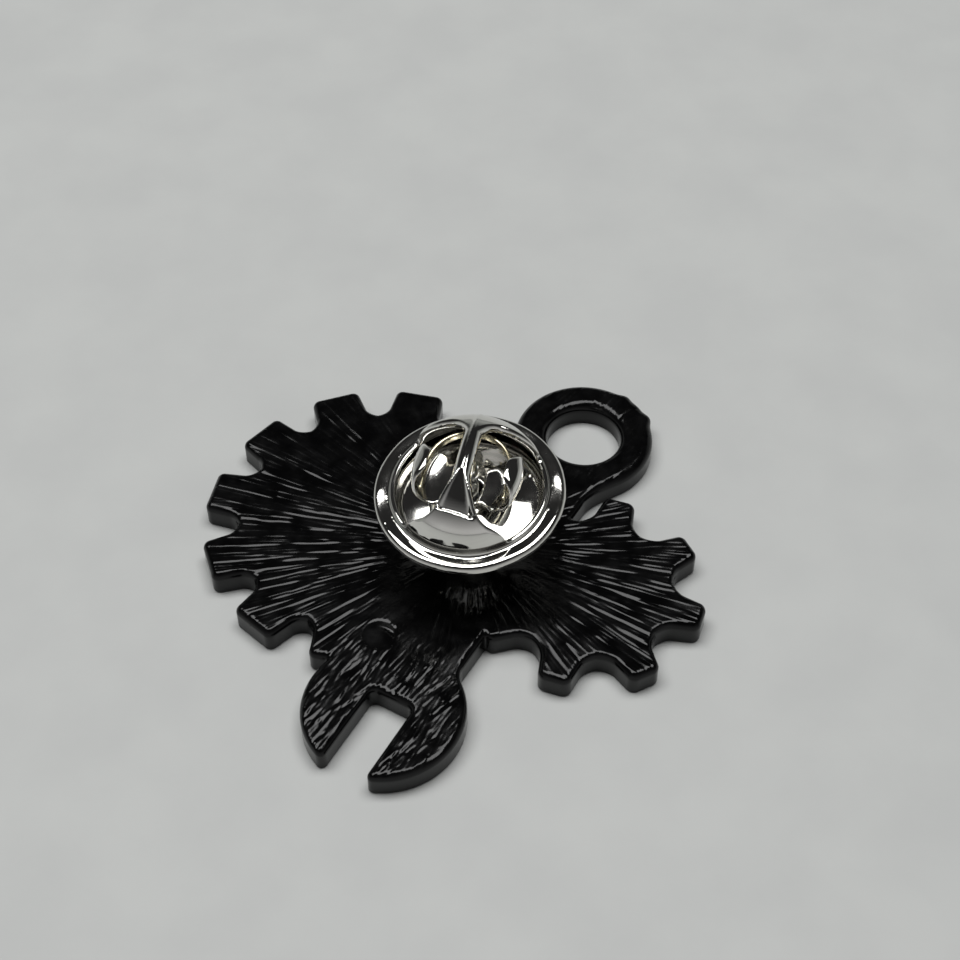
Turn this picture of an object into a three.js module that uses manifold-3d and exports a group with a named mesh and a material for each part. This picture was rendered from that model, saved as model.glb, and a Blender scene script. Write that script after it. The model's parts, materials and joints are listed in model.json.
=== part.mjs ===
// A gear-and-wrench enamel pin, lying face down with its butterfly clutch on top.
// Millimetres, +Z up, the enamelled front face at z = 0 looking down.
import * as THREE from 'three';
import { mergeVertices } from 'three/addons/utils/BufferGeometryUtils.js';
import Module from 'manifold-3d';

const wasm = await Module();
wasm.setup();

// ---- driving dimensions ----
const PLATE = { thick: 1.55, edgeRound: 0.25 };
const CELL = { depth: 0.55, line: 0.55, ringLine: 0.5, handleGap: 0.7, handleRound: 0.5, gap: 0.02, sink: 0.07 };
const BIG_GEAR = {
  x: -5.97, y: -4.15, tipR: 10.5, rootR: 8.35, tipHalf: 1.47, rootHalf: 1.65,
  teeth: 12, phase: 77.5, leftOut: 47.5, tipRound: 0.45, rootRound: 0.5, hubR: 3.0,
};
const SMALL_GEAR = {
  x: 6.18, y: -9.27, tipR: 6.88, rootR: 4.94, tipHalf: 0.9, rootHalf: 1.3,
  teeth: 8, phase: 26, tipRound: 0.43, rootRound: 0.6, hubR: 1.7,
};
// The wrench is drawn along its own u axis, from the ring's centre to the jaw, with v across.
const WRENCH = {
  x: 6.4, y: 2.45, heading: 240, ringR: 4.25, holeR: 2.25, headU: 23.1, headV: -0.18, headR: 4.57,
  ringHalf: 2.6, jawHalf: 2.15, handleStart: 2.9, handleEnd: 21.2, handleRound: 0.7,
  slotBase: 22.37, slotLow: -1.36, slotHigh: 1.25, slotRound: 0.5, slotSharp: 0.2,
  highTipRound: 0.9, highTipAngle: 11, lowTipRound: 0.75, lowTipAngle: 9,
};
// The casting is solid between the big gear's last tooth, the handle and the jaw.
const GUSSET = {
  round: 0.6,
  points: [{ x: -8.9, y: -12.3 }, { x: -7.9, y: -14.4 }, { x: -4.2, y: -15.2 }, { x: -3.6, y: -10.2 }],
};
const SPRUE = { angle: 35, reach: 0.22, root: 0.5, half: 0.95, low: 0.25, high: 1.3 };
const EJECTOR = { x: -5.7, y: -12.7, r: 1.05, depth: 0.12 };
const POST = {
  x: -0.6, y: -6.2, r: 0.55, length: 7.65, point: 0.9, grooveBack: 1.9, grooveHalf: 0.25, grooveDepth: 0.12,
};
const SOLDER = { r: 1.25, height: 0.35 };
// The clutch hangs a little crooked on its post: it leans towards -Y and -X by these angles.
const CLUTCH = {
  z: 6.23, leanFront: 4.9, leanSide: 3.3, yaw: -12, sheet: 0.3, rimR: 5.12, beadR: 0.27,
  domeR: 4.35, domeFoot: 0.5, domeTop: 3.6, sill: 0.85, discR: 4.8, discHole: 0.85, discSheet: 0.25,
};
const BRIDGE = { half: 0.5, straight: 1.1, flareHalf: 1.05, flareEnd: 3.1, windowEnd: 2.95 };
// The right wing's middle line, as x and z: its jaw by the post, its foot, and its finger tab.
const WING = {
  half: 1.75, sheet: 0.25, steps: 14,
  path: [[0.93, 0.75], [1.8, 0.75], [2.55, 1.0], [3.0, 1.6], [2.9, 2.3], [2.3, 2.75]],
};
const SPRING = { armX: 2.35, backY: 0.3, frontY: -1.5, low: 1.5, high: 2.1, sheet: 0.22 };
const HIDDEN_DEPTH = 0.5;

const rad = THREE.MathUtils.degToRad;

// ---- solids and booleans ----
function toSolid(geometry) {
  const bare = geometry.clone();
  bare.deleteAttribute('normal');
  bare.deleteAttribute('uv');
  const merged = mergeVertices(bare, 1e-4);
  const vertProperties = new Float32Array(merged.attributes.position.array);
  const triVerts = new Uint32Array(merged.index.array);
  return new wasm.Manifold(new wasm.Mesh({ numProp: 3, vertProperties, triVerts }));
}

function toGeometry(solid) {
  const mesh = solid.getMesh();
  const geometry = new THREE.BufferGeometry();
  geometry.setAttribute('position', new THREE.BufferAttribute(new Float32Array(mesh.vertProperties), 3));
  geometry.setIndex(new THREE.BufferAttribute(new Uint32Array(mesh.triVerts), 1));
  geometry.computeVertexNormals();
  return geometry;
}

function union(solids) {
  return solids.reduce((whole, next) => whole.add(next));
}

function largestPiece(solid) {
  return solid.decompose().sort((a, b) => b.volume() - a.volume())[0];
}

// A slab of the shape between two heights, with square edges.
function slab(shape, low, high, curveSegments = 15) {
  const geometry = new THREE.ExtrudeGeometry(shape, { depth: high - low, bevelEnabled: false, curveSegments });
  return geometry.translate(0, 0, low);
}

// A slab from z = 0 to the plate's back, with the back edge rounded.
function plateSlab(shape, curveSegments = 15) {
  const round = PLATE.edgeRound;
  const depth = PLATE.thick + HIDDEN_DEPTH - round;
  return new THREE.ExtrudeGeometry(shape, {
    depth, curveSegments, bevelEnabled: true, bevelThickness: round, bevelSize: round,
    bevelOffset: -round, bevelSegments: 2,
  }).translate(0, 0, -HIDDEN_DEPTH);
}

// ---- outlines ----
// A closed outline through corners {x, y, r}, each rounded over a length r on both sides.
function roundedOutline(corners) {
  const shape = new THREE.Shape();
  corners.forEach((corner, i) => {
    const here = new THREE.Vector2(corner.x, corner.y);
    const before = corners[(i + corners.length - 1) % corners.length];
    const after = corners[(i + 1) % corners.length];
    const start = new THREE.Vector2(before.x, before.y).sub(here).setLength(corner.r).add(here);
    const end = new THREE.Vector2(after.x, after.y).sub(here).setLength(corner.r).add(here);
    if (i === 0) {
      shape.moveTo(start.x, start.y);
    } else {
      shape.lineTo(start.x, start.y);
    }
    shape.quadraticCurveTo(here.x, here.y, end.x, end.y);
  });
  shape.closePath();
  return shape;
}

function gearOutline(gear, inset = 0) {
  const corners = [];
  for (let tooth = 0; tooth < gear.teeth; tooth += 1) {
    const angle = gear.phase + (360 / gear.teeth) * tooth;
    const missing = gear.leftOut !== undefined && Math.abs(((angle - gear.leftOut) % 360)) < 1;
    const tip = missing ? gear.rootR : gear.tipR;
    const steps = [
      [gear.rootR - inset, inset - gear.rootHalf, gear.rootRound],
      [tip - inset, inset - gear.tipHalf, gear.tipRound],
      [tip - inset, gear.tipHalf - inset, gear.tipRound],
      [gear.rootR - inset, gear.rootHalf - inset, gear.rootRound],
    ];
    for (const [radius, side, round] of missing ? [steps[0], steps[3]] : steps) {
      const along = Math.sqrt(radius * radius - side * side);
      const a = rad(angle);
      corners.push({
        x: gear.x + along * Math.cos(a) - side * Math.sin(a),
        y: gear.y + along * Math.sin(a) + side * Math.cos(a),
        r: Math.min(round, 0.45 * (gear.tipHalf - inset) * 2),
      });
    }
  }
  return roundedOutline(corners);
}

function discOutline(x, y, r) {
  const shape = new THREE.Shape();
  shape.absarc(x, y, r, 0, 2 * Math.PI, false);
  return shape;
}

// The wrench's outlines are in its own u, v frame.
function ringOutline(outer, hole) {
  const shape = discOutline(0, 0, outer);
  const inside = new THREE.Path();
  inside.absarc(0, 0, hole, 0, 2 * Math.PI, true);
  shape.holes.push(inside);
  return shape;
}

function handleOutline(start, end, grow, round) {
  return roundedOutline([
    { x: start, y: -WRENCH.ringHalf - grow, r: round },
    { x: end, y: -WRENCH.jawHalf - grow, r: round },
    { x: end, y: WRENCH.jawHalf + grow, r: round },
    { x: start, y: WRENCH.ringHalf + grow, r: round },
  ]);
}

// The open-ended jaw: most of a circle, with a slot whose tips are rounded.
function jawOutline(inset = 0) {
  const { headU: u, headV: v, slotBase, slotRound, slotSharp, highTipRound, lowTipRound } = WRENCH;
  const r = WRENCH.headR - inset;
  const low = WRENCH.slotLow - inset;
  const high = WRENCH.slotHigh + inset;
  const base = slotBase - inset;
  const highTip = Math.asin((high - v) / r);
  const lowTip = Math.asin((low - v) / r);
  const arcStart = highTip + rad(WRENCH.highTipAngle);
  const arcEnd = lowTip - rad(WRENCH.lowTipAngle) + 2 * Math.PI;
  const shape = new THREE.Shape();
  shape.moveTo(u + r * Math.cos(highTip) - highTipRound, high);
  shape.quadraticCurveTo(u + r * Math.cos(highTip), high, u + r * Math.cos(arcStart), v + r * Math.sin(arcStart));
  shape.absarc(u, v, r, arcStart, arcEnd, false);
  shape.quadraticCurveTo(u + r * Math.cos(lowTip), low, u + r * Math.cos(lowTip) - lowTipRound, low);
  shape.lineTo(base + slotRound, low);
  shape.quadraticCurveTo(base, low, base, low + slotRound);
  shape.lineTo(base, high - slotSharp);
  shape.quadraticCurveTo(base, high, base + slotSharp, high);
  shape.closePath();
  return shape;
}

function alongWrench(geometry) {
  return geometry.rotateZ(rad(WRENCH.heading)).translate(WRENCH.x, WRENCH.y, 0);
}

// ---- the cast plate ----
function wrenchMask(grow, low, high) {
  const head = discOutline(WRENCH.headU, WRENCH.headV, WRENCH.headR + grow);
  const ring = discOutline(0, 0, WRENCH.ringR + grow);
  const handle = handleOutline(0, WRENCH.headU, grow, 0.3);
  return union([head, ring, handle].map((outline) => toSolid(alongWrench(slab(outline, low, high)))));
}

// One enamel cell: its outline's slab, less whatever the raised metal lines take.
function cellSolids(low, high, gap) {
  const line = CELL.line + gap;
  const disc = (gear, r) => toSolid(slab(discOutline(gear.x, gear.y, r), low, high));
  const mask = wrenchMask(line, low - 1, high + 1);
  const field = (gear) => {
    const whole = toSolid(slab(gearOutline(gear, line), low, high, 2));
    const hub = toSolid(slab(discOutline(gear.x, gear.y, gear.hubR + line), low - 1, high + 1));
    return largestPiece(whole.subtract(hub).subtract(mask));
  };
  const ringWall = CELL.ringLine + gap;
  const handleFrom = WRENCH.ringR + CELL.handleGap + gap;
  const handleTo = WRENCH.headU - WRENCH.headR - gap;
  return {
    large_gear_enamel: field(BIG_GEAR),
    large_gear_hub_enamel: disc(BIG_GEAR, BIG_GEAR.hubR - gap),
    small_gear_enamel: field(SMALL_GEAR),
    small_gear_hub_enamel: disc(SMALL_GEAR, SMALL_GEAR.hubR - gap),
    wrench_ring_enamel: toSolid(alongWrench(
      slab(ringOutline(WRENCH.ringR - ringWall, WRENCH.holeR + ringWall), low, high),
    )),
    wrench_handle_enamel: toSolid(alongWrench(
      slab(handleOutline(handleFrom, handleTo, -line, CELL.handleRound), low, high, 4),
    )),
    wrench_jaw_enamel: toSolid(alongWrench(slab(jawOutline(line), low, high, 7))),
  };
}

function sprueStub() {
  const inner = WRENCH.ringR - SPRUE.root;
  const outer = WRENCH.ringR + SPRUE.reach;
  const outline = roundedOutline([
    { x: inner, y: -SPRUE.half - SPRUE.root, r: 0.1 },
    { x: outer, y: -SPRUE.half, r: 0.25 },
    { x: outer, y: SPRUE.half, r: 0.25 },
    { x: inner, y: SPRUE.half + SPRUE.root, r: 0.1 },
  ]);
  const geometry = slab(outline, SPRUE.low, SPRUE.high, 2);
  return toSolid(geometry.rotateZ(rad(SPRUE.angle)).translate(WRENCH.x, WRENCH.y, 0));
}

function basePlate() {
  const handle = handleOutline(WRENCH.handleStart, WRENCH.handleEnd, 0, WRENCH.handleRound);
  const body = union([
    toSolid(plateSlab(gearOutline(BIG_GEAR), 2)),
    toSolid(plateSlab(gearOutline(SMALL_GEAR), 2)),
    toSolid(alongWrench(plateSlab(handle, 2))),
    toSolid(alongWrench(plateSlab(ringOutline(WRENCH.ringR, WRENCH.holeR), 15))),
    toSolid(alongWrench(plateSlab(jawOutline(), 10))),
    toSolid(plateSlab(roundedOutline(GUSSET.points.map((point) => ({ ...point, r: GUSSET.round }))), 2)),
    sprueStub(),
  ]);
  const span = 80;
  const above = toSolid(new THREE.BoxGeometry(span, span, 10).translate(0, 0, 5));
  const mark = new THREE.CylinderGeometry(EJECTOR.r, EJECTOR.r, 1, 24).rotateX(Math.PI / 2);
  mark.translate(EJECTOR.x, EJECTOR.y, PLATE.thick + 0.5 - EJECTOR.depth);
  const cells = Object.values(cellSolids(-1, CELL.depth, 0));
  return largestPiece(body.intersect(above).subtract(toSolid(mark)).subtract(union(cells)));
}

// ---- post and its solder ----
function postGeometry() {
  const { r, length, point, grooveBack, grooveHalf, grooveDepth } = POST;
  const groove = length - grooveBack;
  const profile = [
    [0, 0], [r, 0], [r, groove - grooveHalf], [r - grooveDepth, groove - grooveHalf + 0.1],
    [r - grooveDepth, groove + grooveHalf - 0.1], [r, groove + grooveHalf], [r, length - point],
    [0.3 * r, length - 0.15], [0, length],
  ];
  return new THREE.LatheGeometry(profile.map(([x, z]) => new THREE.Vector2(x, z)), 16).rotateX(Math.PI / 2);
}

function solderGeometry() {
  const inner = POST.r + CELL.gap;
  const { r, height } = SOLDER;
  const profile = [
    [inner, 0], [r, 0], [r - 0.12, 0.1], [inner + 0.28, 0.16],
    [inner + 0.08, height], [inner, height], [inner, 0],
  ];
  return new THREE.LatheGeometry(profile.map(([x, z]) => new THREE.Vector2(x, z)), 20).rotateX(Math.PI / 2);
}

// ---- clutch, in its own frame: z = 0 at the middle of the rolled rim ----
function domeArc(r, foot, top, steps) {
  const points = [];
  for (let i = 0; i <= steps; i += 1) {
    const t = (Math.PI / 2) * (1 - i / steps);
    points.push([r * Math.cos(t), foot + (top - foot) * Math.sin(t)]);
  }
  return points;
}

function capShell() {
  const { rimR, beadR, domeR, domeFoot, domeTop, sheet } = CLUTCH;
  const bead = [];
  for (let i = 0; i <= 9; i += 1) {
    const a = Math.PI / 2 - (1.5 * Math.PI * i) / 9;
    bead.push([rimR + beadR * Math.cos(a), beadR * Math.sin(a)]);
  }
  const inside = domeArc(domeR - sheet, domeFoot, domeTop - sheet, 9).reverse();
  const profile = [
    ...domeArc(domeR, domeFoot, domeTop, 9),
    [domeR + 0.08, beadR + 0.08], [domeR + 0.25, beadR],
    ...bead,
    [domeR - sheet, 0],
    ...inside,
  ];
  profile[0][0] = 0;
  profile[profile.length - 1][0] = 0;
  const points = profile.reverse().map(([x, z]) => new THREE.Vector2(x, z));
  return toSolid(new THREE.LatheGeometry(points, 40).rotateX(Math.PI / 2));
}

// The opening beside the bridge; side is +1 for the right one and -1 for the left.
function windowCutter(side) {
  const { half, straight, flareHalf, flareEnd, windowEnd } = BRIDGE;
  const far = CLUTCH.rimR + 1;
  const outline = roundedOutline([
    { x: side * half, y: straight, r: 0.3 },
    { x: side * flareHalf, y: flareEnd, r: 0.3 },
    { x: side * far, y: windowEnd, r: 0.3 },
    { x: side * far, y: -windowEnd, r: 0.3 },
    { x: side * flareHalf, y: -flareEnd, r: 0.3 },
    { x: side * half, y: -straight, r: 0.3 },
  ]);
  return toSolid(slab(outline, CLUTCH.sill, CLUTCH.domeTop + 1, 3));
}

function capGeometry() {
  return toGeometry(capShell().subtract(windowCutter(1)).subtract(windowCutter(-1)));
}

function discGeometry() {
  const { discR, discHole, discSheet } = CLUTCH;
  const under = -0.3;
  const over = under + discSheet;
  const profile = [
    [discHole, -0.1], [discHole + 0.55, under], [discR, under], [discR, over], [discHole + 0.5, over],
    [discHole + 0.15, 0.15], [discHole, 0.15], [discHole, -0.1],
  ];
  return new THREE.LatheGeometry(profile.map(([x, z]) => new THREE.Vector2(x, z)), 32).rotateX(Math.PI / 2);
}

// A strip of sheet that follows a curve of [x, z] points, drawn as an outline of constant thickness.
function stripOutline(points, thick, steps) {
  const curve = new THREE.SplineCurve(points.map(([x, z]) => new THREE.Vector2(x, z)));
  const outer = [];
  const inner = [];
  for (let i = 0; i <= steps; i += 1) {
    const here = curve.getPoint(i / steps);
    const tangent = curve.getTangent(i / steps);
    const normal = new THREE.Vector2(-tangent.y, tangent.x).multiplyScalar(thick / 2);
    outer.push(here.clone().add(normal));
    inner.push(here.clone().sub(normal));
  }
  return new THREE.Shape([...outer, ...inner.reverse()]);
}

// One wing: a jaw beside the post, a foot, and a finger tab that stands in the window.
function wingGeometry(side) {
  const outline = stripOutline(WING.path, WING.sheet, WING.steps);
  const geometry = new THREE.ExtrudeGeometry(outline, { depth: 2 * WING.half, bevelEnabled: false });
  geometry.rotateX(Math.PI / 2).translate(0, WING.half, 0);
  return side > 0 ? geometry : geometry.rotateZ(Math.PI);
}

// The spring: a band bent into a U round the post, standing on edge.
function springGeometry() {
  const { armX, backY, frontY, low, high, sheet } = SPRING;
  const outer = armX + sheet / 2;
  const inner = armX - sheet / 2;
  const shape = new THREE.Shape();
  shape.moveTo(outer, frontY);
  shape.lineTo(outer, backY);
  shape.absarc(0, backY, outer, 0, Math.PI, false);
  shape.lineTo(-outer, frontY);
  shape.lineTo(-inner, frontY);
  shape.lineTo(-inner, backY);
  shape.absarc(0, backY, inner, Math.PI, 0, true);
  shape.lineTo(inner, frontY);
  shape.closePath();
  return slab(shape, low, high, 10);
}

// ---- finishes ----
const finish = (color, roughness, metalness) => new THREE.MeshStandardMaterial({ color, roughness, metalness });
const blackMetal = finish(0x0b0c0c, 0.25, 0.6);
const nickel = finish(0xc9c8c2, 0.1, 1);
const steel = finish(0xb4b4b0, 0.25, 1);
const solder = finish(0x8d8d8a, 0.4, 1);
const brass = finish(0xc2a65a, 0.25, 1);
const enamels = {
  large_gear_enamel: finish(0x1d4863, 0.15, 0),
  large_gear_hub_enamel: finish(0xd8d5ca, 0.15, 0),
  small_gear_enamel: finish(0xc7691c, 0.15, 0),
  small_gear_hub_enamel: finish(0xd8d5ca, 0.15, 0),
  wrench_ring_enamel: finish(0x8f979b, 0.15, 0),
  wrench_handle_enamel: finish(0x8f979b, 0.15, 0),
  wrench_jaw_enamel: finish(0x8f979b, 0.15, 0),
};

function part(name, geometry, material) {
  const mesh = new THREE.Mesh(geometry, material);
  mesh.name = name;
  return mesh;
}

// ---- assembly ----
const group = new THREE.Group();
group.add(part('base_plate', toGeometry(basePlate()), blackMetal));
const fills = cellSolids(CELL.sink, CELL.depth - CELL.gap, CELL.gap);
for (const [name, solid] of Object.entries(fills)) {
  group.add(part(name, toGeometry(solid), enamels[name]));
}

const back = new THREE.Group();
back.position.set(POST.x, POST.y, PLATE.thick + CELL.gap);
back.add(part('pin_post', postGeometry(), steel));
back.add(part('post_solder', solderGeometry(), solder));
group.add(back);

const clutch = new THREE.Group();
clutch.position.set(POST.x, POST.y, CLUTCH.z);
clutch.rotation.set(rad(CLUTCH.leanFront), -rad(CLUTCH.leanSide), rad(CLUTCH.yaw), 'XYZ');
clutch.add(part('clutch_base_disc', discGeometry(), nickel));
clutch.add(part('clutch_cap', capGeometry(), nickel));
clutch.add(part('clutch_spring', springGeometry(), brass));
clutch.add(part('clutch_left_wing', wingGeometry(-1), nickel));
clutch.add(part('clutch_right_wing', wingGeometry(1), nickel));
group.add(clutch);

// The origin is under the middle of the whole object's box, on the surface that the front rests on.
const box = new THREE.Box3().setFromObject(group, true);
group.position.set(-(box.min.x + box.max.x) / 2, -(box.min.y + box.max.y) / 2, 0);

export default group;
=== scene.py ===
# Looks for the gear-and-wrench enamel pin. The post, its solder and the clutch's disc are turned
# profiles, and every other surface is an implicit shape, meshed here.
# Shapes are worked out in millimetres and become metres when they turn into meshes.
import json
import math

import bpy
import numpy as np
from mathutils import Matrix, Vector


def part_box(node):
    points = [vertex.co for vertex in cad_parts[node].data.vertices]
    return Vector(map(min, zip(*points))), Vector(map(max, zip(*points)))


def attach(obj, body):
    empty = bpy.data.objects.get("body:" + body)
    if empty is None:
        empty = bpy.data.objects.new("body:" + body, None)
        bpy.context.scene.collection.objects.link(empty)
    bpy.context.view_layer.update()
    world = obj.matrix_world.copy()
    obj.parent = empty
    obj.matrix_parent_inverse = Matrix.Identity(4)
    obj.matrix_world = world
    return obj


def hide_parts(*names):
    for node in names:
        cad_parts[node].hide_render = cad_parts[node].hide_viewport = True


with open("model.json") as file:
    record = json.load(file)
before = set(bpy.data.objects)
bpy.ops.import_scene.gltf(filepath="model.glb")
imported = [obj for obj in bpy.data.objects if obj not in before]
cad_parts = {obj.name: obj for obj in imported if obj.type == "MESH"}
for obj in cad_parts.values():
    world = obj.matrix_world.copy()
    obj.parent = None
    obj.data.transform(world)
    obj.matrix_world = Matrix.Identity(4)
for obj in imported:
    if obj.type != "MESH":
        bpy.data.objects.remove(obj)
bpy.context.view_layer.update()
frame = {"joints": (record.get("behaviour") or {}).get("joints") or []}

MM = 0.001

# ---- dimensions, in millimetres and degrees ----
PLATE = dict(
    thick=1.55, back_round=0.42, ring_round=0.62, front_round=0.06,
    neck_fillet=1.1, head_fillet=0.5, gear_fillet=0.15, tip_round=0.5,
)
CELL = dict(
    depth=0.55, line=0.55, ring_line=0.5, gap=0.02, rim=0.03, sag=0.11, sag_width=0.3,
    hub_round=0.1, wrench_round=0.15, handle_gap=0.7, handle_round=0.4, jaw_round=0.25,
    floor_round=0.03, lip_round=0.04, fill_round=0.02,
)
BIG = dict(
    tip_r=10.5, root_r=8.35, tip_half=1.47, root_half=1.65,
    teeth=12, phase=77.5, left_out=47.5, hub_r=3.0,
)
SMALL = dict(
    tip_r=6.88, root_r=4.94, tip_half=0.9, root_half=1.3,
    teeth=8, phase=26.0, left_out=None, hub_r=1.7,
)
TOOTH_ROUND = dict(tip=0.42, root=0.62)
WRENCH = dict(
    heading=240.0, ring_r=4.25, hole_r=2.25, head_u=23.1, head_v=-0.18, head_r=4.57,
    slot_base=22.37, slot_low=-1.36, slot_high=1.25, slot_round=0.4, ring_half=2.6, jaw_half=2.15,
)
# The casting is solid between the large gear and the jaw, at this offset from the gear's centre.
GUSSET = dict(x=-0.3, y=-8.95, stretch=0.75, r=1.35)
# Torn stubs where the sprue broke off the ring: angle, spread and height.
SPRUE_BUMPS = ((49.0, 6.0, 0.17), (35.0, 9.0, 0.08), (20.0, 6.0, 0.22))
# The round ejector mark in the back, at this offset from the large gear's centre.
MARK = dict(x=0.27, y=-8.55, inner=0.92, outer=1.08, depth=0.03, lip_r=1.12, lip_width=0.09, lip=0.003)
# Strokes that fan out from the post, and blotchy ones along the wrench's two ends.
FAN = dict(
    bands=((3.9, 5.4), (4.6, 7.1), (5.6, 9.2), (7.7, 11.5), (9.8, 14.0), (12.0, 17.0)),
    spacing=0.2, turn=0.45, start=(-0.8, 1.2), length=(0.4, 1.5), spread=2.6,
    width=(0.036, 0.08), relief=(0.1, 0.42),
)
STREAK = dict(
    length=(0.8, 3.4), spread=9, width=(0.04, 0.09), relief=(0.08, 0.34),
    head_r=5.2, head_count=800, ring_r=5.0, ring_count=260,
)
CLUTCH = dict(
    sheet=0.3, rim_r=5.13, bead_r=0.17, dome_r=4.33, foot=0.5, top=3.45, shoulder=0.9,
    sill=0.5, sill_round=0.3, cut_round=0.1, disc_r=4.8, hole=0.85,
)
# The windows reach further to the front than to the back.
BRIDGE = dict(
    half=0.52, front_flare=1.1, back_flare=1.9, flare_half=1.3, flare_end=3.2, flare_power=1.25,
    window_front=3.35, window_back=2.6, corner=0.5,
)
# The sheet curls down round the windows, and the bridge has a crease and, at its front, a facet.
CURL = dict(width=0.34, drop=0.34, above=0.6)
CREASE = dict(height=0.08, width=0.12, start=0.9, end=1.4)
FACET = dict(apex=0.85, base=3.05, close=3.38, half=1.25, flat=0.55, depth=0.46, slant=0.14)
BRIM = dict(waves=9, height=0.025, second=5, inner=4.4, outer=5.0)
WING = dict(
    half=1.75, sheet=0.2, bow=0.13, round_from=1.0, taper=0.95,
    neck=0.5, neck_start=1.8, neck_end=0.9, edge=0.09,
)
SPRING = dict(arm_x=2.35, back_y=0.3, front_y=-1.5, low=1.5, high=2.1, sheet=0.2, edge=0.08)
POST = dict(r=0.55, groove_down=1.9, groove_depth=0.12, groove_bottom=0.13, groove_half=0.25)
# Grid steps of the meshes.
STEP = dict(plate=0.055, enamel=0.09, clutch=0.07, wing=0.055)


def centre(node):
    low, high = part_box(node)
    return np.array((low + high) / 2) / MM


BIG_AT = centre("large_gear_hub_enamel")[:2]
SMALL_AT = centre("small_gear_hub_enamel")[:2]
RING_AT = centre("wrench_ring_enamel")[:2]
POST_AT = centre("pin_post")[:2]
JOINTS = {joint["name"]: joint for joint in frame["joints"]}
CLUTCH_AT = np.array(JOINTS["clutch_spin"]["pos_m"]) / MM
CLUTCH_Z = np.array(JOINTS["clutch_spin"]["axis"])
CLUTCH_Y = np.array(JOINTS["left_wing_squeeze"]["axis"])
CLUTCH_X = np.cross(CLUTCH_Y, CLUTCH_Z)
CLUTCH_AXES = np.stack([CLUTCH_X, CLUTCH_Y, CLUTCH_Z])


# ---- implicit shapes: distances are negative inside ----
def smoothstep(low, high, x):
    t = np.clip((x - low) / (high - low), 0.0, 1.0)
    return t * t * (3 - 2 * t)


def both(a, b, r):
    """Intersection with its edge rounded to radius r."""
    return np.minimum(-r, np.maximum(a, b)) + np.hypot(np.maximum(r + a, 0), np.maximum(r + b, 0))


def either(a, b, r):
    """Union with a fillet of radius r."""
    return np.maximum(r, np.minimum(a, b)) - np.hypot(np.maximum(r - a, 0), np.maximum(r - b, 0))


def gear(x, y, at, spec):
    dx, dy = x - at[0], y - at[1]
    rho = np.hypot(dx, dy)
    pitch = 2 * math.pi / spec["teeth"]
    angle = np.arctan2(dy, dx) - math.radians(spec["phase"])
    index = np.round(angle / pitch)
    fold = angle - index * pitch
    u, v = rho * np.cos(fold), np.abs(rho * np.sin(fold))
    tip_u = math.sqrt(spec["tip_r"] ** 2 - spec["tip_half"] ** 2)
    root_u = math.sqrt(spec["root_r"] ** 2 - spec["root_half"] ** 2)
    slope = (spec["root_half"] - spec["tip_half"]) / (tip_u - root_u)
    side = (v - spec["tip_half"] - slope * (tip_u - u)) / math.hypot(1, slope)
    tooth = both(side, u - tip_u, TOOTH_ROUND["tip"])
    if spec["left_out"] is not None:
        missing = round((spec["left_out"] - spec["phase"]) / math.degrees(pitch)) % spec["teeth"]
        tooth = np.where(np.mod(index, spec["teeth"]) == missing, 9.0, tooth)
    return either(rho - spec["root_r"], tooth, TOOTH_ROUND["root"])


def wrench_frame(x, y):
    a = math.radians(WRENCH["heading"])
    dx, dy = x - RING_AT[0], y - RING_AT[1]
    return dx * math.cos(a) + dy * math.sin(a), dy * math.cos(a) - dx * math.sin(a)


def wrench_parts(x, y):
    """The ring's disc, the handle, the head's disc, the slot and the hole, as distances."""
    u, v = wrench_frame(x, y)
    w = WRENCH
    ring = np.hypot(u, v) - w["ring_r"]
    head = np.hypot(u - w["head_u"], v - w["head_v"]) - w["head_r"]
    half = w["ring_half"] + (w["jaw_half"] - w["ring_half"]) * u / w["head_u"]
    handle = np.maximum(np.abs(v) - half, np.maximum(-u, u - w["head_u"]))
    across = np.maximum(w["slot_low"] - v, v - w["slot_high"])
    slot = both(w["slot_base"] - u, across, w["slot_round"])
    hole = np.hypot(u, v) - w["hole_r"]
    return ring, handle, head, slot, hole


def outline(x, y):
    ring, handle, head, slot, hole = wrench_parts(x, y)
    gears = np.minimum(gear(x, y, BIG_AT, BIG), gear(x, y, SMALL_AT, SMALL))
    body = either(either(ring, handle, PLATE["neck_fillet"]), head, PLATE["head_fillet"])
    gusset_x = BIG_AT[0] + GUSSET["x"]
    gusset_y = BIG_AT[1] + GUSSET["y"]
    gusset = np.hypot((x - gusset_x) * GUSSET["stretch"], y - gusset_y) - GUSSET["r"]
    angle = np.degrees(np.arctan2(y - RING_AT[1], x - RING_AT[0]))
    stub = np.zeros_like(angle)
    for bump_at, spread, height in SPRUE_BUMPS:
        stub = stub + height * np.exp(-((angle - bump_at) / spread) ** 2)
    wrench = np.minimum(body, ring - stub)
    whole = either(wrench, np.minimum(gears, gusset), PLATE["gear_fillet"])
    return np.maximum(both(whole, -slot, PLATE["tip_round"]), -hole)


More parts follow.
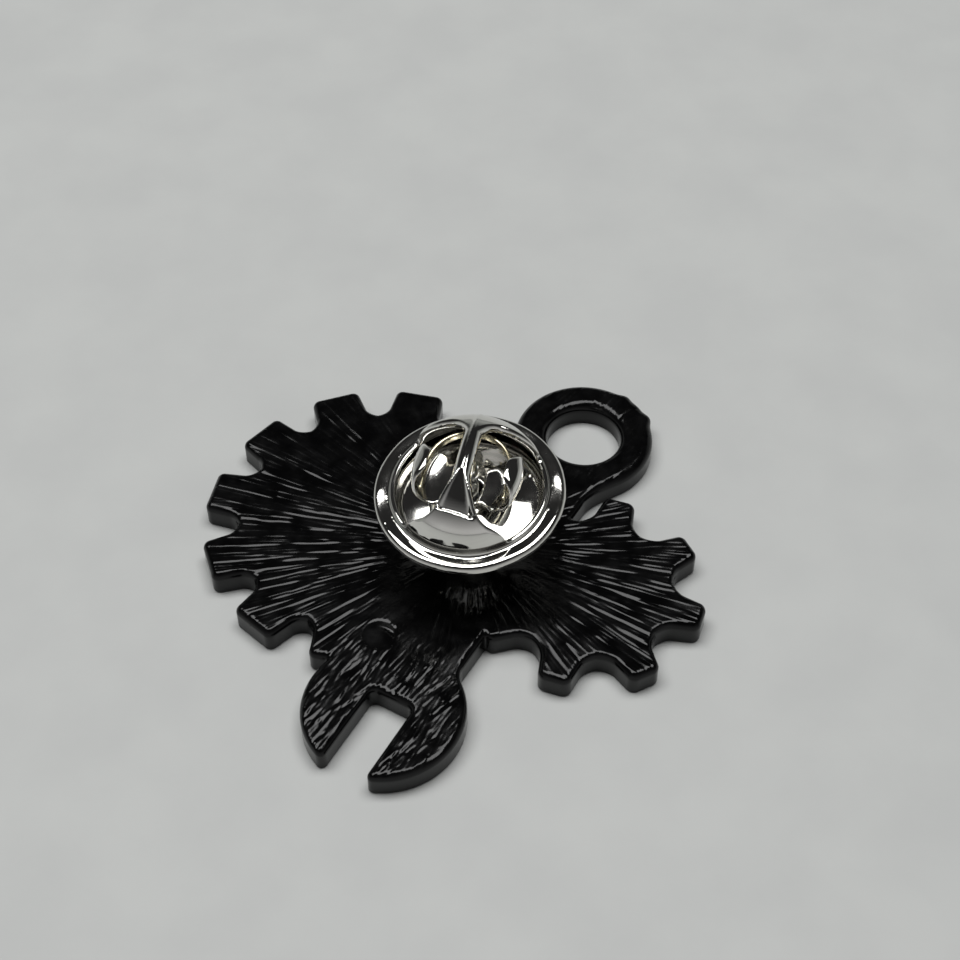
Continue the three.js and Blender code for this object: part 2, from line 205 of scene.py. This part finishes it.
def cells(x, y):
    """One distance per enamel cell, in the plane of the front."""
    ring, handle, head, slot, hole = wrench_parts(x, y)
    u = wrench_frame(x, y)[0]
    line = CELL["line"]
    mask = np.minimum(np.minimum(ring, handle), head)
    found = {}
    for name, at, spec in (("large_gear", BIG_AT, BIG), ("small_gear", SMALL_AT, SMALL)):
        rho = np.hypot(x - at[0], y - at[1])
        field = both(gear(x, y, at, spec) + line, spec["hub_r"] + line - rho, CELL["hub_round"])
        found[name + "_enamel"] = both(field, line - mask, CELL["wrench_round"])
        found[name + "_hub_enamel"] = rho - spec["hub_r"]
    found["wrench_ring_enamel"] = np.maximum(ring + CELL["ring_line"], CELL["ring_line"] - hole)
    handle_start = WRENCH["ring_r"] + CELL["handle_gap"]
    handle_end = WRENCH["head_u"] - WRENCH["head_r"]
    ends = np.maximum(handle_start - u, u - handle_end)
    found["wrench_handle_enamel"] = both(handle + line, ends, CELL["handle_round"])
    found["wrench_jaw_enamel"] = both(head + line, line - slot, CELL["jaw_round"])
    return found


def plate_field(x, y, z):
    flat = outline(x, y)
    ring = wrench_parts(x, y)[0]
    r = PLATE["back_round"] + (PLATE["ring_round"] - PLATE["back_round"]) * smoothstep(0.8, -0.4, ring)
    body = both(flat, z - PLATE["thick"], r)
    body = both(body, -z, PLATE["front_round"])
    recess = np.minimum.reduce(list(cells(x, y).values()))
    recess = both(recess, z - CELL["depth"], CELL["floor_round"])
    return both(body, -recess, CELL["lip_round"])


def enamel_field(name):
    """The fill of one cell, with its face a little below the metal lines and sunk in the middle."""
    def field(x, y, z):
        cell = cells(x, y)[name] + CELL["gap"]
        sunk = 1 - np.exp(np.minimum(cell, 0) / CELL["sag_width"])
        face = CELL["rim"] + CELL["sag"] * sunk
        return both(cell, np.maximum(face - z, z - CELL["depth"] + CELL["gap"]), CELL["fill_round"])

    return field


# ---- meshing ----
# The field is worked out over this many grid planes at a time, to save memory.
SLAB = 24


def surface_net(field, low, high, step):
    """A quad mesh of the field's zero surface, one vertex in each grid cell that it crosses."""
    low = np.asarray(low, float) - 2.3 * step
    count = np.ceil((np.asarray(high, float) + 2.3 * step - low) / step).astype(int) + 1
    axes = [low[k] + step * np.arange(count[k]) for k in range(3)]
    inside = np.empty(count, bool)
    for first in range(0, count[0], SLAB):
        x = axes[0][first:first + SLAB, None, None]
        inside[first:first + SLAB] = field(x, axes[1][None, :, None], axes[2][None, None, :]) < 0
    corner = sum(
        inside[i:count[0] - 1 + i, j:count[1] - 1 + j, k:count[2] - 1 + k].astype(np.int8)
        for i in (0, 1) for j in (0, 1) for k in (0, 1)
    )
    crossed = (corner > 0) & (corner < 8)
    index = -np.ones(crossed.shape, np.int64)
    index[crossed] = np.arange(crossed.sum())
    points = low + step * (np.argwhere(crossed) + 0.5)
    quads = []
    for axis in range(3):
        a, b = (axis + 1) % 3, (axis + 2) % 3
        first = np.moveaxis(inside, axis, 0)[:-1]
        second = np.moveaxis(inside, axis, 0)[1:]
        change = np.moveaxis(first != second, 0, axis)
        at = np.argwhere(change)
        within = (at[:, a] > 0) & (at[:, a] < crossed.shape[a])
        within = within & (at[:, b] > 0) & (at[:, b] < crossed.shape[b])
        at = at[within]
        ea = np.eye(3, dtype=int)[a]
        eb = np.eye(3, dtype=int)[b]
        ring = [at - ea - eb, at - eb, at, at - ea]
        quad = np.stack([index[tuple(c.T)] for c in ring], 1)
        flip = ~inside[tuple(at.T)]
        quad[flip] = quad[flip][:, ::-1]
        quads.append(quad)
    return points, np.concatenate(quads)


def settle(points, field, step, rounds=4):
    """Moves points onto the zero surface along the field's slope, and no further than a cell."""
    start = points.copy()
    h = 0.004
    for _ in range(rounds):
        value = field(*points.T)
        slope = np.stack([(field(*(points + h * axis).T) - value) / h for axis in np.eye(3)], -1)
        size = np.maximum((slope ** 2).sum(-1, keepdims=True), 0.2)
        points = points - 0.9 * value[:, None] * slope / size
        drift = points - start
        far = np.linalg.norm(drift, axis=1, keepdims=True)
        points = start + drift * np.minimum(1.0, 1.2 * step / np.maximum(far, 1e-9))
    return points


def make_object(name, points, faces):
    mesh = bpy.data.meshes.new(name)
    mesh.vertices.add(len(points))
    mesh.vertices.foreach_set("co", (points * MM).astype(np.float32).ravel())
    mesh.loops.add(faces.size)
    mesh.loops.foreach_set("vertex_index", faces.astype(np.int32).ravel())
    mesh.polygons.add(len(faces))
    mesh.polygons.foreach_set("loop_start", np.arange(len(faces), dtype=np.int32) * faces.shape[1])
    mesh.update(calc_edges=True)
    mesh.validate()
    mesh.shade_smooth()
    piece = bpy.data.objects.new(name, mesh)
    bpy.context.scene.collection.objects.link(piece)
    return piece


def solid(name, field, low, high, step, after=None):
    points, faces = surface_net(field, low, high, step)
    points = settle(points, field, step)
    if after is not None:
        points = after(points)
    return make_object(name, points, faces)


def lathe(profile, segments):
    """A closed ring or a pointed solid turned about the z axis from (radius, height) points."""
    turns = np.linspace(0, 2 * math.pi, segments, endpoint=False)
    radii = np.array([r for r, z in profile])
    heights = np.array([z for r, z in profile])
    across = np.outer(np.cos(turns), radii)
    along = np.outer(np.sin(turns), radii)
    up = np.broadcast_to(heights, across.shape)
    points = np.stack([across, along, up], -1).reshape(-1, 3)
    n = len(profile)
    i, j = np.meshgrid(np.arange(segments), np.arange(n), indexing="ij")
    i2, j2 = (i + 1) % segments, (j + 1) % n
    faces = np.stack([i * n + j, i2 * n + j, i2 * n + j2, i * n + j2], -1).reshape(-1, 4)
    return points, faces


def to_row(points):
    """Points in the clutch's own frame, as points in the row frame."""
    return CLUTCH_AT + points @ CLUTCH_AXES


# ---- the back's brushed texture ----
MAP_STEP = 0.025


class HeightMap:
    def __init__(self, low, high):
        self.low = np.array(low, float)
        self.count = np.ceil((np.array(high, float) - self.low) / MAP_STEP).astype(int) + 1
        self.data = np.zeros(self.count)

    def stroke(self, start, heading, length, width, height):
        """One soft-edged groove or ridge with tapered ends."""
        direction = np.array([math.cos(heading), math.sin(heading)])
        end = np.asarray(start) + direction * length
        pad = 3 * width
        first = np.floor((np.minimum(start, end) - pad - self.low) / MAP_STEP).astype(int)
        last = np.ceil((np.maximum(start, end) + pad - self.low) / MAP_STEP).astype(int)
        first, last = np.maximum(first, 0), np.minimum(last, self.count - 1)
        if (last <= first).any():
            return
        xs = self.low[0] + MAP_STEP * np.arange(first[0], last[0]) - start[0]
        ys = self.low[1] + MAP_STEP * np.arange(first[1], last[1]) - start[1]
        gx, gy = np.meshgrid(xs, ys, indexing="ij")
        along = gx * direction[0] + gy * direction[1]
        across = gy * direction[0] - gx * direction[1]
        taper = smoothstep(0, 0.25 * length, along) * (1 - smoothstep(0.75 * length, length, along))
        self.data[first[0]:last[0], first[1]:last[1]] += height * taper * np.exp(-(across / width) ** 2)

    def sample(self, x, y):
        fx = np.clip((x - self.low[0]) / MAP_STEP, 0, self.count[0] - 1.001)
        fy = np.clip((y - self.low[1]) / MAP_STEP, 0, self.count[1] - 1.001)
        i, j = fx.astype(int), fy.astype(int)
        a, b = fx - i, fy - j
        d = self.data
        near = d[i, j] * (1 - a) + d[i + 1, j] * a
        far = d[i, j + 1] * (1 - a) + d[i + 1, j + 1] * a
        return near * (1 - b) + far * b


def sunburst(heights, rng):
    """Strokes that fan out from the post, in overlapping bands of radius."""
    for inner, outer in FAN["bands"]:
        middle = (inner + outer) / 2
        lines = int(2 * math.pi * middle / FAN["spacing"])
        for k in range(lines):
            angle = 2 * math.pi * (k + rng.uniform(-FAN["turn"], FAN["turn"])) / lines
            radius = inner + rng.uniform(*FAN["start"])
            start = POST_AT + radius * np.array([math.cos(angle), math.sin(angle)])
            length = (outer - inner) * rng.uniform(*FAN["length"])
            heading = angle + math.radians(rng.normal(0, FAN["spread"]))
            width = rng.uniform(*FAN["width"])
            height = width * rng.uniform(*FAN["relief"]) * rng.choice((-1, -1, 1))
            heights.stroke(start, heading, length, width, height)


def streaks(heights, rng, at, radius, count):
    """Blotchy streaks along the wrench, over one of its ends."""
    for _ in range(count):
        angle = rng.uniform(0, 2 * math.pi)
        distance = radius * math.sqrt(rng.uniform())
        start = np.asarray(at) + distance * np.array([math.cos(angle), math.sin(angle)])
        heading = math.radians(WRENCH["heading"] + rng.normal(0, STREAK["spread"]))
        length = rng.uniform(*STREAK["length"])
        start = start - 0.5 * length * np.array([math.cos(heading), math.sin(heading)])
        width = rng.uniform(*STREAK["width"])
        height = width * rng.uniform(*STREAK["relief"]) * rng.choice((-1, 1))
        heights.stroke(start, heading, length, width, height)


def back_heights():
    """The fan's height map and the wrench ends' one."""
    rng = np.random.default_rng(11)
    low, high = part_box("base_plate")
    size = (np.array(low)[:2] / MM, np.array(high)[:2] / MM)
    fan = HeightMap(*size)
    sunburst(fan, rng)
    along = HeightMap(*size)
    heading = math.radians(WRENCH["heading"])
    head_at = RING_AT + WRENCH["head_u"] * np.array([math.cos(heading), math.sin(heading)])
    streaks(along, rng, head_at, STREAK["head_r"], STREAK["head_count"])
    streaks(along, rng, RING_AT, STREAK["ring_r"], STREAK["ring_count"])
    return fan, along


def swell(x, y):
    """The slow waves of a cast surface."""
    slow = 0.03 * np.sin(1.1 * x + 0.4) * np.sin(0.9 * y - 0.6)
    quick = 0.012 * np.sin(2.3 * x - y) * np.sin(1.9 * y + x)
    return slow + quick


def brush_back(points):
    """Moves the back's points up or down by the strokes, the ejector mark and the swell."""
    fan, along = back_heights()
    x, y, z = points.T
    flat = outline(x, y)
    ring, _, head, _, _ = wrench_parts(x, y)
    on_end = smoothstep(0.9, -0.2, np.minimum(ring, head))
    height = fan.sample(x, y) * (1 - on_end) + along.sample(x, y) * on_end
    from_mark = np.hypot(x - BIG_AT[0] - MARK["x"], y - BIG_AT[1] - MARK["y"])
    in_mark = 1 - smoothstep(MARK["inner"], MARK["outer"], from_mark)
    lip = MARK["lip"] * np.exp(-((from_mark - MARK["lip_r"]) / MARK["lip_width"]) ** 2)
    height = height * (1 - in_mark) - MARK["depth"] * in_mark + lip
    on_back = smoothstep(PLATE["thick"] - 0.2, PLATE["thick"] - 0.02, z)
    clear = smoothstep(-0.02, -0.35, flat)
    points = points.copy()
    points[:, 2] += on_back * clear * (height + swell(x, y))
    return points


# ---- clutch shapes, in the clutch's own frame ----
def polyline_distance(x, y, path):
    best = np.full(np.shape(x), 1e9)
    for (ax, ay), (bx, by) in zip(path[:-1], path[1:]):
        dx, dy = bx - ax, by - ay
        t = np.clip(((x - ax) * dx + (y - ay) * dy) / (dx * dx + dy * dy), 0, 1)
        best = np.minimum(best, np.hypot(x - ax - t * dx, y - ay - t * dy))
    return best


def smooth_path(points, steps=6):
    """A Catmull-Rom curve through the points."""
    p = np.array([points[0], *points, points[-1]], float)
    found = []
    for i in range(1, len(p) - 2):
        for t in np.linspace(0, 1, steps, endpoint=False):
            a = 2 * p[i]
            b = p[i + 1] - p[i - 1]
            c = 2 * p[i - 1] - 5 * p[i] + 4 * p[i + 1] - p[i + 2]
            d = 3 * p[i] - p[i - 1] - 3 * p[i + 1] + p[i + 2]
            found.append(0.5 * (a + b * t + c * t * t + d * t ** 3))
    found.append(p[-2])
    return [tuple(q) for q in found]


def cap_profile():
    """The middle line of the cap's sheet: the dome, its foot's fillet and the rolled bead."""
    c = CLUTCH
    path = []
    for t in np.linspace(math.pi / 2, 0, 46):
        height = c["foot"] + (c["top"] - c["foot"]) * math.sin(t)
        path.append((c["dome_r"] * math.cos(t) ** c["shoulder"], height))
    for out, height in ((0.02, 0.32), (0.12, 0.17), (0.3, 0.1)):
        path.append((c["dome_r"] + out, height))
    for t in np.linspace(math.pi / 2, -math.pi * 0.95, 16):
        path.append((c["rim_r"] + c["bead_r"] * math.cos(t), -0.05 + c["bead_r"] * math.sin(t)))
    return path


CAP_PATH = cap_profile()


def bridge_half(y):
    b = BRIDGE
    start = np.where(y < 0, b["front_flare"], b["back_flare"])
    t = np.clip((np.abs(y) - start) / (b["flare_end"] - start), 0, 1.2)
    return b["half"] + (b["flare_half"] - b["half"]) * t ** b["flare_power"]


def window_distance(x, y):
    """The two windows in plan, one on each side of the bridge."""
    ends = np.maximum(y - BRIDGE["window_back"], -y - BRIDGE["window_front"])
    return both(bridge_half(y) - np.abs(x), ends, BRIDGE["corner"])


def bridge_dent(x, y):
    """How deep the facet is pressed in, less the height of the crease behind it."""
    f = FACET
    least = 0.02
    reach = -y - f["slant"] * x
    span = np.clip((reach - f["apex"]) / (f["base"] - f["apex"]), least, 1)
    across = np.abs(x) / (f["half"] * span)
    dent = (1 - smoothstep(f["flat"], 1.0, across)) * (span - least)
    dent = f["depth"] * dent * (1 - smoothstep(f["base"], f["close"], reach))
    crease = CREASE["height"] * np.exp(-(x / CREASE["width"]) ** 2)
    return dent - crease * (1 - smoothstep(CREASE["start"], CREASE["end"], reach))


def brim_wave(x, y):
    """The brim's small unevenness, as two sine waves round it."""
    turn = np.arctan2(y, x)
    wave = np.sin(BRIM["waves"] * turn + 0.7) + np.sin(BRIM["second"] * turn + 2.1)
    return BRIM["height"] * wave * smoothstep(BRIM["inner"], BRIM["outer"], np.hypot(x, y))


def cap_field(x, y, z):
    window = window_distance(x, y)
    curl = np.clip((CURL["width"] - window) / CURL["width"], 0, 1.2)
    lowered = CURL["drop"] * curl ** 2 + bridge_dent(x, y)
    height = z + np.where(z > CURL["above"], lowered, brim_wave(x, y))
    sheet = polyline_distance(np.hypot(x, y), height, CAP_PATH) - CLUTCH["sheet"] / 2
    opening = both(window, CLUTCH["sill"] - z, CLUTCH["sill_round"])
    return both(sheet, -opening, CLUTCH["cut_round"])


def disc_profile():
    """The disc's section, closed: the funnel's underside, the rounded edge and the funnel's lip."""
    hole = CLUTCH["hole"]
    edge = CLUTCH["disc_r"]
    under = -0.3
    over = -0.05
    round_off = 0.05
    return [
        (hole, -0.1), (hole + 0.2, -0.22), (hole + 0.55, under), (edge - round_off, under),
        (edge, under + round_off), (edge, over - round_off), (edge - round_off, over),
        (hole + 0.5, over), (hole + 0.25, 0.03), (hole + 0.15, 0.15), (hole + 0.03, 0.17), (hole, 0.12),
    ]


# The right wing's middle line as x and z: its jaw by the post, its foot and its finger tab.
WING_PATH = smooth_path([(0.93, 0.75), (1.8, 0.75), (2.55, 1.0), (3.0, 1.6), (2.9, 2.3), (2.3, 2.75)])


def wing_field(x, y, z):
    strip = polyline_distance(x + WING["bow"] * y ** 2, z, WING_PATH) - WING["sheet"] / 2
    lobe = np.hypot(np.maximum(z - WING["round_from"], 0) * WING["taper"], y) - WING["half"]
    half = WING["half"] - WING["neck"] * smoothstep(WING["neck_start"], WING["neck_end"], x)
    return both(strip, np.maximum(lobe, np.abs(y) - half), WING["edge"])


def spring_field(x, y, z):
    s = SPRING
    arms = np.hypot(np.abs(x) - s["arm_x"], np.minimum(np.maximum(s["front_y"] - y, 0), 9))
    back = np.abs(np.hypot(x, y - s["back_y"]) - s["arm_x"])
    band = np.where(y > s["back_y"], back, arms) - s["sheet"] / 2
    middle = (s["low"] + s["high"]) / 2
    half = (s["high"] - s["low"]) / 2
    return both(band, np.abs(z - middle) - half, s["edge"])


# ---- materials ----
def material(name, base, roughness, metallic=0.0, **sockets):
    mat = bpy.data.materials.new(name)
    mat.use_nodes = True
    shader = mat.node_tree.nodes["Principled BSDF"]
    shader.inputs["Base Color"].default_value = (*base, 1)
    shader.inputs["Roughness"].default_value = roughness
    shader.inputs["Metallic"].default_value = metallic
    for key, value in sockets.items():
        shader.inputs[key.replace("_", " ")].default_value = value
    return mat, shader


def noise(mat, scale, detail=4.0, stretch=(1, 1, 1)):
    nodes, links = mat.node_tree.nodes, mat.node_tree.links
    place = nodes.new("ShaderNodeTexCoord")
    mapping = nodes.new("ShaderNodeMapping")
    mapping.inputs["Scale"].default_value = stretch
    texture = nodes.new("ShaderNodeTexNoise")
    texture.inputs["Scale"].default_value = scale
    texture.inputs["Detail"].default_value = detail
    links.new(place.outputs["Object"], mapping.inputs["Vector"])
    links.new(mapping.outputs["Vector"], texture.inputs["Vector"])
    return texture


def vary_roughness(mat, shader, texture, low, high):
    nodes, links = mat.node_tree.nodes, mat.node_tree.links
    span = nodes.new("ShaderNodeMapRange")
    span.inputs["From Min"].default_value = 0.35
    span.inputs["From Max"].default_value = 0.65
    span.inputs["To Min"].default_value = low
    span.inputs["To Max"].default_value = high
    links.new(texture.outputs["Fac"], span.inputs["Value"])
    links.new(span.outputs["Result"], shader.inputs["Roughness"])


def vary_colour(mat, shader, texture, dark, light):
    nodes, links = mat.node_tree.nodes, mat.node_tree.links
    ramp = nodes.new("ShaderNodeValToRGB")
    ramp.color_ramp.elements[0].position = 0.35
    ramp.color_ramp.elements[0].color = (*dark, 1)
    ramp.color_ramp.elements[1].position = 0.65
    ramp.color_ramp.elements[1].color = (*light, 1)
    links.new(texture.outputs["Fac"], ramp.inputs["Fac"])
    links.new(ramp.outputs["Color"], shader.inputs["Base Color"])


def bump(mat, shader, texture, strength, distance):
    nodes, links = mat.node_tree.nodes, mat.node_tree.links
    node = nodes.new("ShaderNodeBump")
    node.inputs["Strength"].default_value = strength
    node.inputs["Distance"].default_value = distance
    links.new(texture.outputs["Fac"], node.inputs["Height"])
    links.new(node.outputs["Normal"], shader.inputs["Normal"])


def black_plating():
    mat, shader = material("black_plating", (0.002, 0.002, 0.002), 0.14, Specular_IOR_Level=0.28)
    broad = noise(mat, 900, 3)
    vary_roughness(mat, shader, broad, 0.09, 0.2)
    vary_colour(mat, shader, broad, (0.0012, 0.0012, 0.0013), (0.003, 0.003, 0.0031))
    bump(mat, shader, noise(mat, 2200, 4), 0.3, 0.000012)
    return mat


def nickel():
    mat, shader = material("nickel_plate", (0.78, 0.77, 0.73), 0.06, 1.0)
    vary_roughness(mat, shader, noise(mat, 700, 3), 0.04, 0.1)
    vary_colour(mat, shader, noise(mat, 260, 2), (0.74, 0.73, 0.69), (0.82, 0.81, 0.78))
    bump(mat, shader, noise(mat, 500, 2), 0.12, 0.00004)
    return mat


def brass():
    mat, shader = material("spring_brass", (0.7, 0.64, 0.46), 0.12, 1.0)
    vary_roughness(mat, shader, noise(mat, 900, 3), 0.1, 0.22)
    vary_colour(mat, shader, noise(mat, 400, 2), (0.64, 0.58, 0.4), (0.76, 0.7, 0.52))
    return mat


def post_steel():
    mat, shader = material("post_steel", (0.55, 0.55, 0.53), 0.2, 1.0)
    vary_roughness(mat, shader, noise(mat, 1200, 3, (1, 1, 0.1)), 0.15, 0.3)
    return mat


def solder():
    mat, shader = material("dull_solder", (0.3, 0.3, 0.3), 0.4, 1.0)
    texture = noise(mat, 1500, 4)
    vary_roughness(mat, shader, texture, 0.3, 0.5)
    bump(mat, shader, texture, 0.4, 0.00003)
    return mat


def enamel(name, base):
    mat, shader = material(name, base, 0.12, 0.0, Coat_Weight=0.6, Coat_Roughness=0.04)
    texture = noise(mat, 500, 3)
    vary_roughness(mat, shader, texture, 0.1, 0.2)
    vary_colour(mat, shader, texture, tuple(0.9 * c for c in base), tuple(min(1, 1.1 * c) for c in base))
    bump(mat, shader, noise(mat, 220, 2), 0.1, 0.00004)
    return mat


def paper():
    mat, shader = material("pale_table", (0.49, 0.495, 0.485), 0.6)
    vary_colour(mat, shader, noise(mat, 160, 5), (0.476, 0.485, 0.476), (0.502, 0.512, 0.5))
    bump(mat, shader, noise(mat, 1400, 3), 0.1, 0.00005)
    return mat


# ---- pieces ----
def finish_piece(piece, mat, body, node):
    piece.data.materials.clear()
    piece.data.materials.append(mat)
    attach(piece, body)
    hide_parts(node)


def box_mm(node, grow=0.1):
    low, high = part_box(node)
    return np.array(low) / MM - grow, np.array(high) / MM + grow


def build_plate(mat):
    low, high = box_mm("base_plate", 0.05)
    piece = solid("cast_plate", plate_field, low, high, STEP["plate"], brush_back)
    finish_piece(piece, mat, "pin", "base_plate")


def build_enamels():
    blue = enamel("blue_enamel", (0.02, 0.09, 0.16))
    cream = enamel("cream_enamel", (0.68, 0.65, 0.56))
    orange = enamel("orange_enamel", (0.57, 0.14, 0.02))
    grey = enamel("grey_enamel", (0.27, 0.31, 0.33))
    plan = (
        ("large_gear_enamel", blue, "enamel_blue"), ("large_gear_hub_enamel", cream, "enamel_cream"),
        ("small_gear_enamel", orange, "enamel_orange"), ("small_gear_hub_enamel", cream, "enamel_cream"),
        ("wrench_ring_enamel", grey, "enamel_grey"), ("wrench_handle_enamel", grey, "enamel_grey"),
        ("wrench_jaw_enamel", grey, "enamel_grey"),
    )
    for node, mat, slot in plan:
        low, high = box_mm(node)
        piece = solid("fill_of_" + node, enamel_field(node), low, high, STEP["enamel"])
        finish_piece(piece, mat, "pin", node)


def build_post():
    low, high = box_mm("pin_post", 0)
    r = POST["r"]
    foot = low[2]
    top = high[2]
    neck = r - POST["groove_depth"]
    groove = top - POST["groove_down"]
    axis = 0.0001
    profile = [
        (axis, foot), (r, foot), (r, groove - POST["groove_half"]), (neck, groove - POST["groove_bottom"]),
        (neck, groove + POST["groove_bottom"]), (r, groove + POST["groove_half"]),
        (r, top - 0.9), (0.8 * r, top - 0.6), (0.5 * r, top - 0.3), (0.2 * r, top - 0.08), (axis, top),
    ]
    points, faces = lathe(profile, 48)
    piece = make_object("nail_post", points + np.array([*POST_AT, 0]), faces)
    finish_piece(piece, post_steel(), "pin", "pin_post")


def build_solder():
    """A ring of solder round the post's foot, a little out of round."""
    foot = box_mm("pin_post", 0)[0][2]
    rise = [
        (1.25, 0.0), (1.2, 0.06), (1.0, 0.12), (0.8, 0.17),
        (0.68, 0.25), (0.62, 0.35), (0.56, 0.35), (0.56, 0.0),
    ]
    points, faces = lathe([(r, foot + z) for r, z in reversed(rise)], 64)
    turn = np.arctan2(points[:, 1], points[:, 0])
    wobble = 1 + 0.05 * np.sin(3 * turn + 0.6)[:, None] * [1, 1, 0]
    outer = np.hypot(points[:, 0], points[:, 1]) > 0.6
    points[outer] = (points * wobble)[outer]
    piece = make_object("solder_ring", points + np.array([*POST_AT, 0]), faces)
    finish_piece(piece, solder(), "pin", "post_solder")


def clutch_piece(name, field, low, high, step, mirror=False):
    """A piece meshed in the clutch's own frame; mirror gives it the other side's place."""
    points, faces = surface_net(field, low, high, step)
    points = settle(points, field, step)
    if mirror:
        points = points * [-1, -1, 1]
    return make_object(name, to_row(points), faces)


def build_clutch():
    metal, strip = nickel(), brass()
    cap = clutch_piece("clutch_dome", cap_field, (-5.6, -5.6, -0.5), (5.6, 5.6, 4.5), STEP["clutch"])
    finish_piece(cap, metal, "clutch", "clutch_cap")
    points, faces = lathe(disc_profile(), 128)
    disc = make_object("clutch_floor", to_row(points), faces)
    finish_piece(disc, metal, "clutch_base", "clutch_base_disc")
    spring = clutch_piece("clutch_band", spring_field, (-2.6, -1.7, 1.8), (2.6, 2.9, 2.7), STEP["wing"])
    finish_piece(spring, strip, "clutch", "clutch_spring")
    wing_low, wing_high = (0.7, -1.9, 0.5), (3.4, 1.9, 3.6)
    for side, mirror in (("right", False), ("left", True)):
        wing = clutch_piece(side + "_finger_wing", wing_field, wing_low, wing_high, STEP["wing"], mirror)
        finish_piece(wing, metal, side + "_wing", "clutch_" + side + "_wing")


# ---- stage ----
SOFTBOX = dict(at=(-0.05, 0.09, 0.5), width=0.62, depth=0.26, power=3.1)
FLOOR_DROP = 0.02 * MM
FRONT_GLOW = 0.46


def build_floor():
    bpy.ops.mesh.primitive_plane_add(size=3.0, location=(0, 0, -FLOOR_DROP))
    floor = bpy.context.active_object
    floor.name = "table_top"
    floor.data.materials.append(paper())


def map_range(nodes, start, stop, reached=1.0):
    """A Map Range node that rises from 0 at start to the reached value at stop."""
    node = nodes.new("ShaderNodeMapRange")
    node.inputs["From Min"].default_value = start
    node.inputs["From Max"].default_value = stop
    node.inputs["To Max"].default_value = reached
    return node


def build_world():
    """Grey low down and nearly black above, with a soft glow low in front of the object."""
    world = bpy.context.scene.world or bpy.data.worlds.new("studio")
    bpy.context.scene.world = world
    world.use_nodes = True
    nodes, links = world.node_tree.nodes, world.node_tree.links
    place = nodes.new("ShaderNodeTexCoord")
    split = nodes.new("ShaderNodeSeparateXYZ")
    links.new(place.outputs["Generated"], split.inputs["Vector"])
    ramp = nodes.new("ShaderNodeValToRGB")
    ramp.color_ramp.elements[0].color = (0.3, 0.31, 0.3, 1)
    ramp.color_ramp.elements[0].position = 0.1
    ramp.color_ramp.elements[1].color = (0.02, 0.02, 0.02, 1)
    ramp.color_ramp.elements[1].position = 0.35
    links.new(split.outputs["Z"], ramp.inputs["Fac"])
    front = map_range(nodes, 0.1, -0.8, FRONT_GLOW)
    links.new(split.outputs["Y"], front.inputs["Value"])
    low = map_range(nodes, 0.8, 0.15)
    links.new(split.outputs["Z"], low.inputs["Value"])
    glow = nodes.new("ShaderNodeMath")
    glow.operation = "MULTIPLY"
    links.new(front.outputs["Result"], glow.inputs[0])
    links.new(low.outputs["Result"], glow.inputs[1])
    mix = nodes.new("ShaderNodeMix")
    mix.data_type = "RGBA"
    mix.blend_type = "LIGHTEN"
    mix.inputs["Factor"].default_value = 1.0
    links.new(ramp.outputs["Color"], mix.inputs["A"])
    links.new(glow.outputs["Value"], mix.inputs["B"])
    links.new(mix.outputs["Result"], nodes["Background"].inputs["Color"])


def build_softbox():
    light = bpy.data.lights.new("softbox", "AREA")
    light.shape = "RECTANGLE"
    light.size = SOFTBOX["width"]
    light.size_y = SOFTBOX["depth"]
    light.energy = SOFTBOX["power"]
    lamp = bpy.data.objects.new("softbox", light)
    lamp.location = SOFTBOX["at"]
    bpy.context.scene.collection.objects.link(lamp)


CAMERA = dict(aim=(0.00177, 0.00768, 0.0), elevation=49.4, distance=0.11043, roll=-0.19, lens=67.5)


def build_camera():
    data = bpy.data.cameras.new("camera")
    data.lens = CAMERA["lens"]
    data.sensor_width = 36.0
    data.clip_start = 0.005
    camera = bpy.data.objects.new("camera", data)
    tilt = math.radians(CAMERA["elevation"])
    aim = Vector(CAMERA["aim"])
    camera.location = aim + CAMERA["distance"] * Vector((0, -math.cos(tilt), math.sin(tilt)))
    look_down = Matrix.Rotation(math.radians(90) - tilt, 4, "X")
    roll = Matrix.Rotation(math.radians(CAMERA["roll"]), 4, "Z")
    camera.rotation_euler = (look_down @ roll).to_euler()
    bpy.context.scene.collection.objects.link(camera)
    bpy.context.scene.camera = camera


build_plate(black_plating())
build_enamels()
build_post()
build_solder()
build_clutch()
build_floor()
build_world()
build_softbox()
build_camera()
bpy.context.scene.view_settings.view_transform = "Standard"
